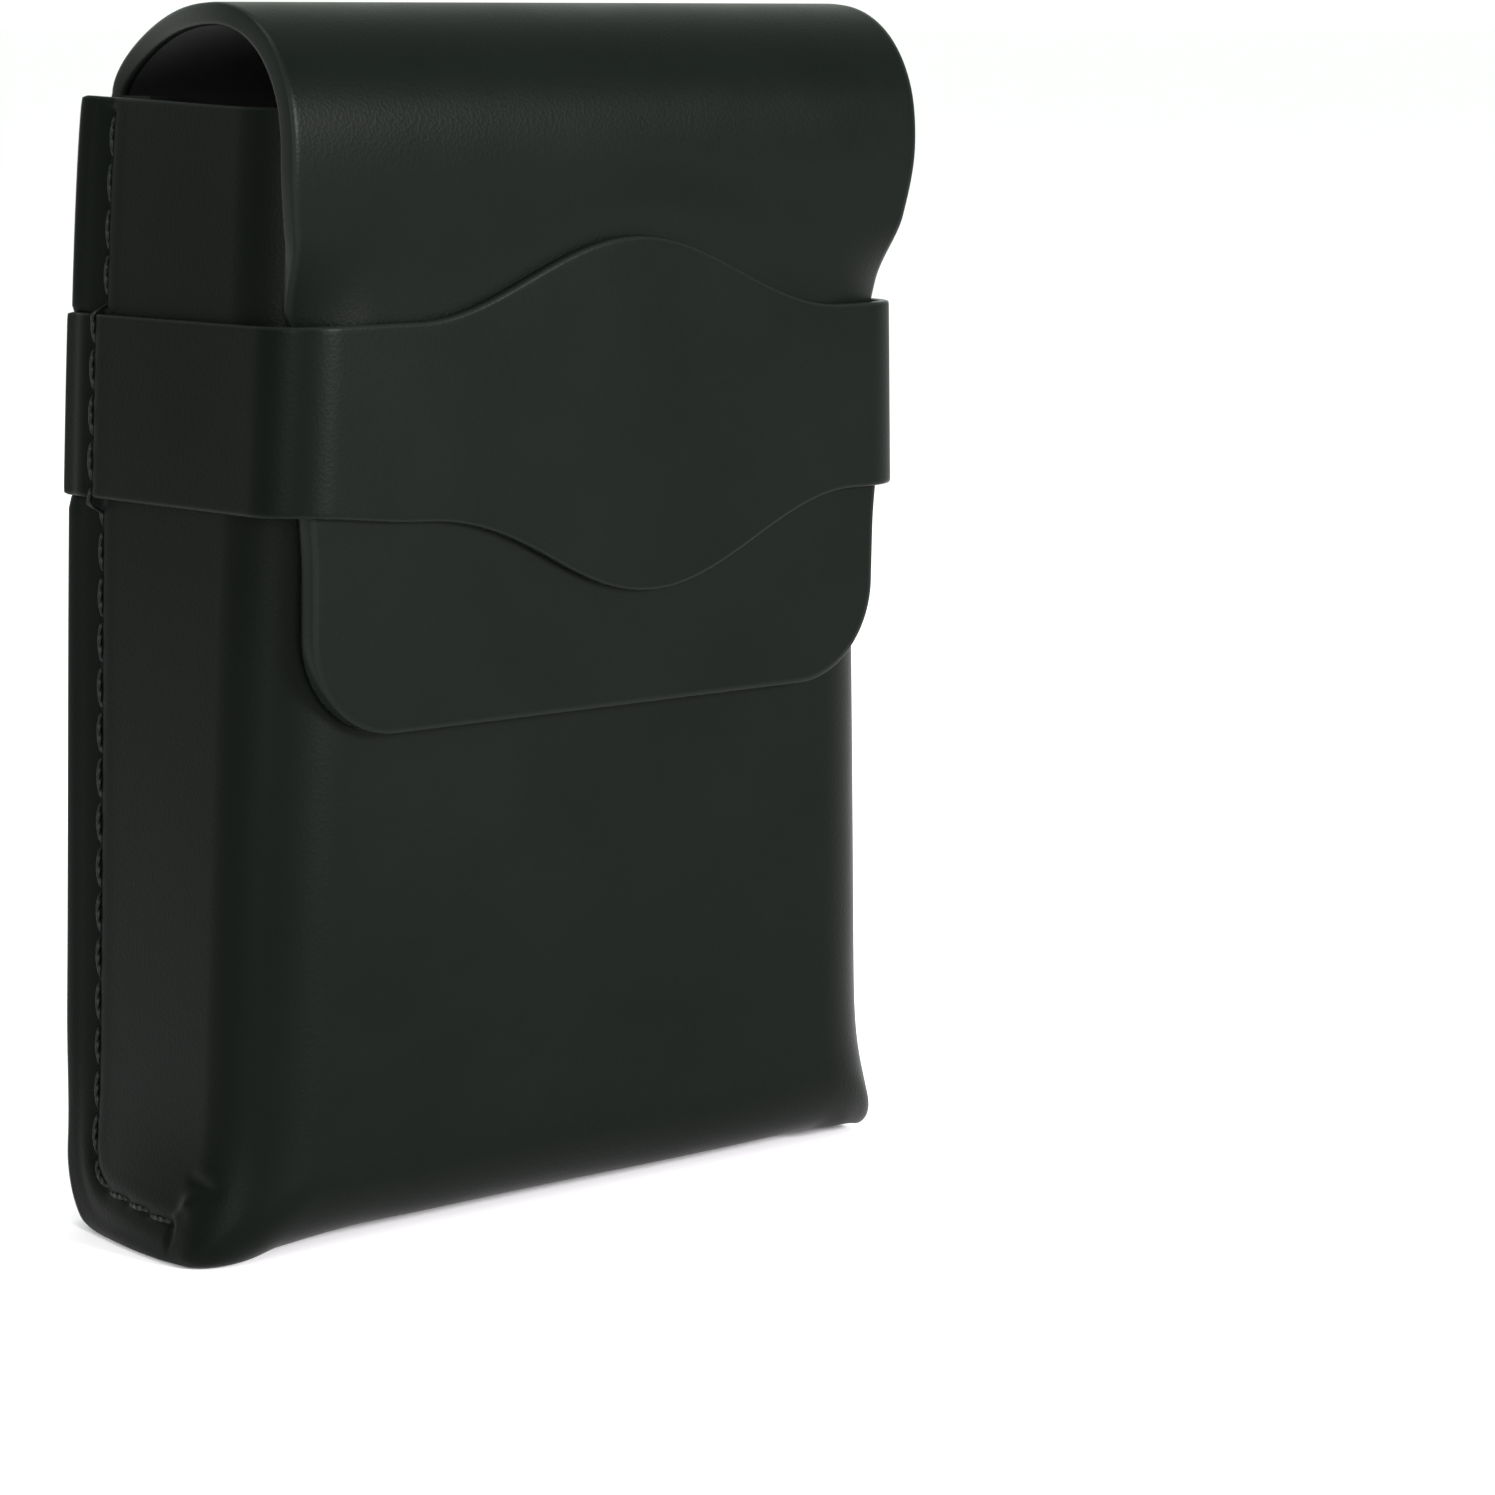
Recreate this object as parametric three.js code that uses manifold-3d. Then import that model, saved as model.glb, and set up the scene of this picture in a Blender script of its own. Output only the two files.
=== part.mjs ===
// A leather case for a deck of cards, in millimetres. +Z is up, -Y is the front, +X is the right
// side, and the origin is on the floor under the middle of the whole case.
//
// Every piece is first drawn on an upright box, and then leanAndFlare() spreads it towards the
// floor, as the real case spreads: the side walls splay outwards and the front leans back.
import * as THREE from 'three';
import { mergeVertices } from 'three/addons/utils/BufferGeometryUtils.js';
import Module from 'manifold-3d';

const wasm = await Module();
wasm.setup();

// Driving sizes of the case
const topWidth = 82;          // across the side walls at the top edge
const splay = 11;             // the case is this much wider at the floor
const topDepth = 36.5;        // front face to back face at the top edge
const lean = 3.5;             // the case is this much thinner at the floor
const caseHeight = 123.5;     // floor to the top edge of the side walls
const leather = 2.4;          // thickness of the case and flap leather
const frontCorner = 9;        // outside radius of the two upright front corners
const frontCurve = 9;         // outside radius where the front turns under
const backCurve = 9;          // outside radius where the back turns under
const clearance = 0.3;        // gap kept between pieces that touch

// Side seams
const seamInset = 4.8;        // stitch line to the back edge and to the floor
const weltDepth = 5;          // width of the welt strip inside each seam
const weltThickness = 2.2;
const threadThickness = 0.8;
const threadTop = 1.5;        // the stitching starts this far below the top edge
const seamFrontStop = 2.5;    // the stitching ends this far behind the front curve

// Band across the front
const bandLeather = 1.4;
const bandHeight = 20.5;      // of its straight ends
const bandDepth = 23;         // the band's top edge below the case's top edge
const bandRise = 8.3;         // the wave's crest above the band's top edge
const bandDrop = 10;          // the wave's trough below the band's bottom edge
const waveHalfWidth = 32;
const bandCorner = 2.6;       // inside radius where the band turns the front corners

// Flap
const roofHeight = 9.9;       // the arch's crown above the case's top edge
const crownSetback = 23;      // the crown in front of the back face
const foremostShare = 0.6;    // the arch is foremost this share of its height below the top edge
const edgeGap = 0.4;          // between the flap and the front's top edge
const neckEase = 0.4;         // the flap's neck to each side wall's inner face
const roofOverhang = 2.4;     // the arch past each side wall
const tongueInset = 0.65;     // the tongue short of each side wall's outer face at the top edge
const tongueLength = 66.5;    // the case's top edge down to the flap's lower edge
const tongueCorner = 11;      // radius of the flap's lower corners

// Places worked out from those sizes, on the upright box
const halfWidth = topWidth / 2;
const innerHalf = halfWidth - leather;
const backY = topDepth / 2;
const frontY = -topDepth / 2;
const tongueFaceY = frontY - clearance - leather;
const bandInnerY = tongueFaceY - clearance;
const bandTop = caseHeight - bandDepth;
const bandBottom = bandTop - bandHeight;
const faceTop = bandTop + bandRise + 1;    // the flap's face is flat up to here, over the crest
const tongueEdge = caseHeight - tongueLength;
const tongueHalf = halfWidth - tongueInset;
const roofHalf = halfWidth + roofOverhang;
const neckHalf = innerHalf - neckEase;
const past = 1;               // how far a cutting solid runs past what it cuts

// The arch is two quarter ellipses that meet at the crown. The front one is set so that the sheet,
// cut at a slant, clears the front's top edge.
const slant = 1.1;
const crownY = backY - crownSetback;
const foremostDrop = foremostShare * roofHeight;
const foremostHeight = caseHeight - foremostDrop;
const edgeShare = Math.sqrt(1 - (foremostDrop / (foremostDrop + roofHeight)) ** 2);
const edgeY = frontY - edgeGap - slant * leather;
const foremostY = crownY - (crownY - edgeY) / edgeShare;

const finish = {
  leather: { color: 0x262a27, roughness: 0.48, metalness: 0 },
  strap: { color: 0x2a2e2b, roughness: 0.45, metalness: 0 },
  lining: { color: 0x1c1f1d, roughness: 0.75, metalness: 0 },
  thread: { color: 0x101210, roughness: 0.6, metalness: 0 },
};

// --- solids -------------------------------------------------------------------------------------

function toSolid(geometry) {
  const bare = geometry.index ? geometry.toNonIndexed() : geometry.clone();
  bare.deleteAttribute('normal');
  bare.deleteAttribute('uv');
  const merged = mergeVertices(bare, 1e-4);
  return new wasm.Manifold(new wasm.Mesh({
    numProp: 3,
    vertProperties: merged.attributes.position.array,
    triVerts: new Uint32Array(merged.index.array),
  }));
}

function toGeometry(solid) {
  const mesh = solid.getMesh();
  const geometry = new THREE.BufferGeometry();
  geometry.setAttribute('position', new THREE.BufferAttribute(mesh.vertProperties, 3));
  geometry.setIndex(new THREE.BufferAttribute(mesh.triVerts, 1));
  return geometry;
}

// A prism of a (y, z) outline, from x = low to x = high
function prismAlongX(outline, low, high) {
  const geometry = new THREE.ExtrudeGeometry(outline, {
    depth: high - low, bevelEnabled: false, curveSegments: 10,
  });
  const axes = new THREE.Matrix4().makeBasis(
    new THREE.Vector3(0, 1, 0), new THREE.Vector3(0, 0, 1), new THREE.Vector3(1, 0, 0));
  return geometry.applyMatrix4(axes).translate(low, 0, 0);
}

// A prism of an (x, z) outline, from y = low to y = high
function prismAlongY(outline, low, high) {
  const geometry = new THREE.ExtrudeGeometry(outline, {
    depth: high - low, bevelEnabled: false, curveSegments: 10,
  });
  const axes = new THREE.Matrix4().makeBasis(
    new THREE.Vector3(1, 0, 0), new THREE.Vector3(0, 0, 1), new THREE.Vector3(0, -1, 0));
  return geometry.applyMatrix4(axes).translate(0, high, 0);
}

// A prism of an (x, y) outline, from z = low to z = high
function prismAlongZ(outline, low, high) {
  const geometry = new THREE.ExtrudeGeometry(outline, {
    depth: high - low, bevelEnabled: false, curveSegments: 8,
  });
  return geometry.translate(0, 0, low);
}

function bendVertices(geometry, move) {
  const position = geometry.attributes.position;
  const point = new THREE.Vector3();
  for (let i = 0; i < position.count; i += 1) {
    move(point.fromBufferAttribute(position, i));
    position.setXYZ(i, point.x, point.y, point.z);
  }
  return geometry;
}

// 0 at the case's top edge and above it, 1 at the floor
function depthBelowTop(z) {
  return 1 - THREE.MathUtils.clamp(z / caseHeight, 0, 1);
}

function leanBack(point) {
  point.y = backY - (backY - point.y) * (1 - (lean / topDepth) * depthBelowTop(point.z));
}

function leanAndFlare(point) {
  point.x *= 1 + (splay / topWidth) * depthBelowTop(point.z);
  leanBack(point);
}

// --- case ---------------------------------------------------------------------------------------

// Side outline of the whole case in (y, z), as seen from its right
function caseSideOutline() {
  const outline = new THREE.Shape();
  outline.moveTo(backY, caseHeight);
  outline.lineTo(frontY, caseHeight);
  outline.lineTo(frontY, frontCurve);
  outline.absarc(frontY + frontCurve, frontCurve, frontCurve, Math.PI, 1.5 * Math.PI);
  outline.lineTo(backY - backCurve, 0);
  outline.absarc(backY - backCurve, backCurve, backCurve, 1.5 * Math.PI, 2 * Math.PI);
  outline.closePath();
  return outline;
}

// Plan outline in (x, y), drawn in by inset at the sides and the front
function casePlanOutline(inset, back) {
  const side = halfWidth - inset;
  const front = frontY + inset;
  const radius = frontCorner - inset;
  const outline = new THREE.Shape();
  outline.moveTo(-side, back);
  outline.lineTo(-side, front + radius);
  outline.absarc(-side + radius, front + radius, radius, Math.PI, 1.5 * Math.PI);
  outline.lineTo(side - radius, front);
  outline.absarc(side - radius, front + radius, radius, 1.5 * Math.PI, 2 * Math.PI);
  outline.lineTo(side, back);
  outline.closePath();
  return outline;
}

// What is hollow between the side walls: the pocket, and the places of the back and the bottom
function hollowSideOutline() {
  const under = frontY + frontCurve;
  const outline = new THREE.Shape();
  outline.moveTo(backY + past, caseHeight + past);
  outline.lineTo(frontY + leather, caseHeight + past);
  outline.lineTo(frontY + leather, frontCurve);
  outline.absarc(under, frontCurve, frontCurve - leather, Math.PI, 1.5 * Math.PI);
  outline.lineTo(under, -past);
  outline.lineTo(backY + past, -past);
  outline.closePath();
  return outline;
}

// Front and both side walls, moulded from one piece of leather
function frontShell() {
  const block = toSolid(prismAlongX(caseSideOutline(), -halfWidth, halfWidth))
    .intersect(toSolid(prismAlongZ(casePlanOutline(0, backY), 0, caseHeight)));
  const hollow = toSolid(prismAlongX(hollowSideOutline(), -innerHalf, innerHalf))
    .intersect(toSolid(prismAlongZ(casePlanOutline(leather, backY + past), -past, caseHeight + past)));
  return toGeometry(block.subtract(hollow));
}

// A strip that runs down the back and turns forward under it, in (y, z), between two insets
function turnedStripOutline(outerInset, innerInset, frontEnd) {
  const outer = backCurve - outerInset;
  const inner = Math.max(backCurve - innerInset, clearance);
  const innerY = backY - innerInset - inner;
  const outline = new THREE.Shape();
  outline.moveTo(backY - innerInset, caseHeight);
  outline.lineTo(backY - innerInset, innerInset + inner);
  outline.absarc(innerY, innerInset + inner, inner, 0, -0.5 * Math.PI, true);
  outline.lineTo(frontEnd, innerInset);
  outline.lineTo(frontEnd, outerInset);
  outline.lineTo(backY - backCurve, outerInset);
  outline.absarc(backY - backCurve, backCurve, outer, -0.5 * Math.PI, 0);
  outline.lineTo(backY - outerInset, caseHeight);
  outline.closePath();
  return outline;
}

function backPanel() {
  const side = innerHalf - clearance;
  const outline = turnedStripOutline(0, leather, backY - backCurve - clearance);
  return prismAlongX(outline, -side, side);
}

function bottomPanel() {
  const front = frontY + frontCurve + clearance;
  const back = backY - backCurve - 2 * clearance;
  const panel = new THREE.BoxGeometry(2 * (innerHalf - clearance), back - front, leather);
  return panel.translate(0, (front + back) / 2, leather / 2);
}

// The strip inside a seam, which the side wall is sewn to
function seamWelt(side) {
  const outside = innerHalf - clearance;
  const inset = leather + clearance;
  const outline = turnedStripOutline(inset, inset + weltDepth, frontY + frontCurve);
  const strip = prismAlongX(outline, outside - weltThickness, outside);
  return side > 0 ? strip : strip.translate(-(2 * outside - weltThickness), 0, 0);
}

// The thread's way down a side wall and forward along its foot, stepping out over the band
function seamPath(side) {
  const lineY = backY - seamInset;
  const turn = Math.max(backCurve - seamInset, 2 * threadThickness);
  const rest = halfWidth + clearance + threadThickness / 2;
  const ease = 2;
  const path = [];
  const add = (y, z) => {
    const over = THREE.MathUtils.smoothstep(z, bandBottom - ease, bandBottom - clearance)
      * (1 - THREE.MathUtils.smoothstep(z, bandTop + clearance, bandTop + ease));
    path.push(new THREE.Vector3(side * (rest + over * (bandLeather + clearance)), y, z));
  };
  const start = caseHeight - threadTop;
  [start, bandTop + ease, bandTop + clearance, bandBottom - clearance, bandBottom - ease]
    .forEach((z) => add(lineY, z));
  const straightEnd = seamInset + turn;
  for (let i = 1; i <= 4; i += 1) {
    add(lineY, THREE.MathUtils.lerp(bandBottom - ease, straightEnd, i / 4));
  }
  for (let i = 1; i <= 4; i += 1) {
    const angle = (i / 4) * 0.5 * Math.PI;
    add(lineY - turn * (1 - Math.cos(angle)), straightEnd - turn * Math.sin(angle));
  }
  add(frontY + frontCurve + seamFrontStop, seamInset);
  return path;
}

function seamThread(side) {
  const path = new THREE.CurvePath();
  const points = seamPath(side);
  points.slice(1).forEach((point, i) => path.add(new THREE.LineCurve3(points[i], point)));
  const section = new THREE.Shape().absarc(0, 0, threadThickness / 2, 0, 2 * Math.PI);
  return new THREE.ExtrudeGeometry(section, {
    steps: 60, curveSegments: 3, bevelEnabled: false, extrudePath: path,
  });
}

// --- band ---------------------------------------------------------------------------------------

// Plan outline of the strap: back edge, left side, front, right side, and back inside
function bandPlanOutline() {
  const innerX = halfWidth + clearance;
  const outerX = innerX + bandLeather;
  const outerY = bandInnerY - bandLeather;
  const outer = bandCorner + bandLeather;
  const outline = new THREE.Shape();
  outline.moveTo(-outerX, backY);
  outline.lineTo(-outerX, outerY + outer);
  outline.absarc(-outerX + outer, outerY + outer, outer, Math.PI, 1.5 * Math.PI);
  outline.lineTo(outerX - outer, outerY);
  outline.absarc(outerX - outer, outerY + outer, outer, 1.5 * Math.PI, 2 * Math.PI);
  outline.lineTo(outerX, backY);
  outline.lineTo(innerX, backY);
  outline.lineTo(innerX, bandInnerY + bandCorner);
  outline.absarc(innerX - bandCorner, bandInnerY + bandCorner, bandCorner, 0, -0.5 * Math.PI, true);
  outline.lineTo(-innerX + bandCorner, bandInnerY);
  outline.absarc(-innerX + bandCorner, bandInnerY + bandCorner, bandCorner, -0.5 * Math.PI, -Math.PI, true);
  outline.lineTo(-innerX, backY);
  outline.closePath();
  return outline;
}

// Front view of the band in (x, z): straight ends, a crest above and a trough below
function bandWaveOutline() {
  const end = topWidth;
  const handle = 0.42 * waveHalfWidth;
  const wave = waveHalfWidth;
  const crest = bandTop + bandRise;
  const trough = bandBottom - bandDrop;
  const outline = new THREE.Shape();
  outline.moveTo(end, bandTop);
  outline.lineTo(wave, bandTop);
  outline.bezierCurveTo(wave - handle, bandTop, handle, crest, 0, crest);
  outline.bezierCurveTo(-handle, crest, -wave + handle, bandTop, -wave, bandTop);
  outline.lineTo(-end, bandTop);
  outline.lineTo(-end, bandBottom);
  outline.lineTo(-wave, bandBottom);
  outline.bezierCurveTo(-wave + handle, bandBottom, -handle, trough, 0, trough);
  outline.bezierCurveTo(handle, trough, wave - handle, bandBottom, wave, bandBottom);
  outline.lineTo(end, bandBottom);
  outline.closePath();
  return outline;
}

function band() {
  const low = bandBottom - bandDrop - past;
  const high = bandTop + bandRise + past;
  const strap = toSolid(prismAlongZ(bandPlanOutline(), low, high));
  const wave = toSolid(prismAlongY(bandWaveOutline(), bandInnerY - bandLeather - past, backY + past));
  return toGeometry(strap.intersect(wave));
}

// --- flap ---------------------------------------------------------------------------------------

// Outside line of the arch in (y, z), from the back panel over the crown to the foremost line
function roofLine() {
  const foot = caseHeight + clearance;
  const crown = caseHeight + roofHeight;
  const line = new THREE.Path();
  line.absellipse(crownY, foot, backY - crownY, crown - foot, 0, 0.5 * Math.PI);
  line.absellipse(crownY, foremostHeight, crownY - foremostY, crown - foremostHeight,
    0.5 * Math.PI, Math.PI);
  return line.getPoints(9);
}

// Outside line of the flap's front, from under the arch down to its lower edge
function tongueLine() {
  const start = foremostHeight - clearance;
  const reach = (start - faceTop) / 2;
  const line = new THREE.Path();
  line.moveTo(foremostY, start);
  line.bezierCurveTo(foremostY, start - reach, tongueFaceY, faceTop + reach, tongueFaceY, faceTop);
  line.lineTo(tongueFaceY, tongueEdge);
  return line.getPoints(6);
}

// A sheet of leather whose outside follows line, closed along its inside
function sheetOutline(line) {
  const points = line.filter((point, i) => i === 0 || point.distanceTo(line[i - 1]) > 1e-4);
  const inside = points.map((point, i) => {
    const before = points[Math.max(i - 1, 0)];
    const after = points[Math.min(i + 1, points.length - 1)];
    const along = after.clone().sub(before).normalize();
    return new THREE.Vector2(point.x - along.y * leather, point.y + along.x * leather);
  });
  inside[0].y = points[0].y;
  inside[inside.length - 1].y = points[points.length - 1].y;
  return new THREE.Shape([...points, ...inside.reverse()]);
}

// Half of the flap's width: a neck at the back, widest over the crown, narrower under the band
function flapHalfWidth(y, z) {
  if (z < foremostHeight) {
    return THREE.MathUtils.lerp(tongueHalf, roofHalf, THREE.MathUtils.smoothstep(z, faceTop, foremostHeight));
  }
  return THREE.MathUtils.lerp(roofHalf, neckHalf, THREE.MathUtils.smoothstep(y, crownY, backY));
}

function flapSheet(line) {
  const sheet = prismAlongX(sheetOutline(line), -1, 1);
  return bendVertices(sheet, (point) => {
    point.x *= flapHalfWidth(point.y, point.z);
  });
}

function flapRoof() {
  return flapSheet(roofLine());
}

// The waste outside the rounded lower right corner of the flap, in (x, z)
function tongueCornerWaste() {
  const side = tongueHalf;
  const centreZ = tongueEdge + tongueCorner;
  const waste = new THREE.Shape();
  waste.moveTo(side + past, centreZ);
  waste.lineTo(side, centreZ);
  waste.absarc(side - tongueCorner, centreZ, tongueCorner, 0, -0.5 * Math.PI, true);
  waste.lineTo(side - tongueCorner, tongueEdge - past);
  waste.lineTo(side + past, tongueEdge - past);
  waste.closePath();
  return waste;
}

function flapFront() {
  const waste = prismAlongY(tongueCornerWaste(), tongueFaceY - past, frontY + past);
  const right = toSolid(waste);
  const sheet = toSolid(flapSheet(tongueLine()));
  return toGeometry(sheet.subtract(right).subtract(right.mirror([1, 0, 0])));
}

// --- assembly -----------------------------------------------------------------------------------

const assembly = new THREE.Group();

function addPiece(name, geometry, shape, look) {
  const mesh = new THREE.Mesh(bendVertices(geometry, shape), new THREE.MeshStandardMaterial(look));
  mesh.name = name;
  assembly.add(mesh);
}

addPiece('front_shell', frontShell(), leanAndFlare, finish.leather);
addPiece('back_panel', backPanel(), leanAndFlare, finish.leather);
addPiece('bottom_panel', bottomPanel(), leanAndFlare, finish.leather);
addPiece('left_seam_welt', seamWelt(-1), leanAndFlare, finish.lining);
addPiece('right_seam_welt', seamWelt(1), leanAndFlare, finish.lining);
addPiece('left_seam_thread', seamThread(-1), leanAndFlare, finish.thread);
addPiece('right_seam_thread', seamThread(1), leanAndFlare, finish.thread);
addPiece('band', band(), leanAndFlare, finish.strap);
addPiece('flap_roof', flapRoof(), leanBack, finish.leather);
addPiece('flap_front', flapFront(), leanBack, finish.leather);

// Stand the case on the floor with the middle of its whole depth at y = 0
const extent = new THREE.Box3().setFromObject(assembly);
assembly.position.set(0, -(extent.min.y + extent.max.y) / 2, 0);

export default assembly;
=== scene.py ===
import bpy
import numpy as np
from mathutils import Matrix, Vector


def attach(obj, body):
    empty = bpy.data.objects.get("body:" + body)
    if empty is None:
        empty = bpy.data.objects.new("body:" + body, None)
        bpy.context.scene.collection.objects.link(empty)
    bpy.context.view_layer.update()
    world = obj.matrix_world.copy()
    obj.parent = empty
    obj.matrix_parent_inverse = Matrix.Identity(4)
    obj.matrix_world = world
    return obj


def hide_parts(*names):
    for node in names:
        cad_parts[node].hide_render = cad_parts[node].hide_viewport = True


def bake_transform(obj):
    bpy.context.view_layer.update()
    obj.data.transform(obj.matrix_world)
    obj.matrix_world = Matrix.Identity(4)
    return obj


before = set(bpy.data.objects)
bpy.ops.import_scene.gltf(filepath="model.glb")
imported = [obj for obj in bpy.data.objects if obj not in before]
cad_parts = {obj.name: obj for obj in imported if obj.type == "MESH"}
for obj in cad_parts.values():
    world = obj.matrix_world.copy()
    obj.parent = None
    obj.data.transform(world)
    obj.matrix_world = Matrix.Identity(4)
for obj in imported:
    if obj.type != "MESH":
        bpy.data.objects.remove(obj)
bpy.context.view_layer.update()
mm = 0.001


def corners(node, low=-1000.0):
    # Lowest and highest corner of the part of a CAD node that is above a height
    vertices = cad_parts[node].data.vertices
    places = np.empty(len(vertices) * 3)
    vertices.foreach_get("co", places)
    places = places.reshape(-1, 3) / mm
    held = places[places[:, 2] > low]
    return held.min(0), held.max(0)


shellLow, shellHigh = corners("front_shell")
topLow, topHigh = corners("front_shell", shellHigh[2] - 1)

case = {
    "height": shellHigh[2],                         # floor to the top edge of the side walls
    "half": topHigh[0],                             # half the width at the top edge
    "splay": shellHigh[0] - topHigh[0],             # each side wall goes out this far by the floor
    "front": topLow[1],
    "back": shellHigh[1],
    "lean": 3.5,                                    # the front goes back this far by the floor
    "leather": corners("bottom_panel")[1][2],
    "corner": 9.0,                                  # outside radius of the upright front corners
    "frontFoot": (8.2, 9.5),                        # the front turns under so far, from this height
    "sideFoot": (1.3, 1.7),                         # the same for the side walls
    "backCurve": 9.0,
    "belly": 1.0,                                   # the back edges bow out at half height
    "flare": 2.8,                                   # the front corners spread at the floor
    "archLift": 1.5,                                # the bottom is off the floor mid-way
    "dip": 0.8,                                     # the side walls' top edges fall forward
    "edge": 0.5,                                    # how far the cut edges are rounded over
    "square": 0.45,
    "gap": 0.3,                                     # between pieces that touch
}
height, half, front, back = case["height"], case["half"], case["front"], case["back"]
depth = back - front
sideEnd = half - case["corner"] + case["corner"] * np.pi / 2 + depth - case["corner"]


def smooth(t):
    t = np.clip(t, 0, 1)
    return t * t * (3 - 2 * t)


def hump(t):
    # 1 at 0, falling to 0 at -1 and 1
    return np.cos(np.pi / 2 * np.clip(t, -1, 1)) ** 2


def spread(stops, steps):
    # Numbers from the first stop to the last, with a spacing of its own between each two stops
    runs = [np.linspace(a, b, max(int(round((b - a) / step)), 1), endpoint=False)
            for a, b, step in zip(stops, stops[1:], steps)]
    return np.append(np.concatenate(runs), stops[-1])


def settle(x, y, z, widens=1.0):
    # From an upright box to the case as it stands. k is the share of the height below the top edge:
    # with it widths grow and the front draws back. The foot arches up between its corners.
    k = 1 - np.clip(z / height, 0, 1)
    backShare = smooth((y - front) / depth)
    wider = case["splay"] * k + case["belly"] * np.sin(np.pi * k ** 0.6) * backShare
    lowest = np.exp(-(np.maximum(z, 0) / 9.0) ** 2)
    wider = wider + case["flare"] * lowest * (1 - 0.7 * backShare ** 3)
    lift = case["archLift"] * smooth((x + half) / 20) * smooth((half + 1.5 - x) / 6)
    lift = lift * (1 - smooth(z / 30)) * (1 - 0.7 * backShare)
    across = x * (1 + widens * wider / half)
    along = back - (back - y) * (1 - case["lean"] / depth * k)
    return np.stack([across, along, z + lift * widens], -1)


def unitRows(vectors):
    return vectors / np.maximum(np.linalg.norm(vectors, axis=-1, keepdims=True), 1e-9)


def facing(form, c, b, step=0.25):
    # Outward direction of a formed sheet: the cross product of its slopes along b and along c
    alongB = form(c, b + step) - form(c, b - step)
    alongC = form(c + step, b) - form(c - step, b)
    return unitRows(np.cross(alongB, alongC))


def borderOrder(rows, columns, butt):
    # Grid numbers round the border, less the row that meets another sheet, and whether they close
    number = np.arange(rows * columns).reshape(rows, columns)
    if butt == "last":
        return np.concatenate([number[::-1, 0], number[0, 1:], number[1:, -1]]), False
    if butt == "first":
        return np.concatenate([number[:, -1], number[-1, -2::-1], number[-2::-1, 0]]), False
    sides = [number[0, :-1], number[:-1, -1], number[-1, :0:-1], number[:0:-1, 0]]
    return np.concatenate(sides), True


def addMap(mesh, name, values):
    layer = mesh.uv_layers.new(name=name)
    vertexOf = np.empty(len(mesh.loops), int)
    mesh.loops.foreach_get("vertex_index", vertexOf)
    layer.data.foreach_set("uv", values[vertexOf].astype(np.float32).ravel())


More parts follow.
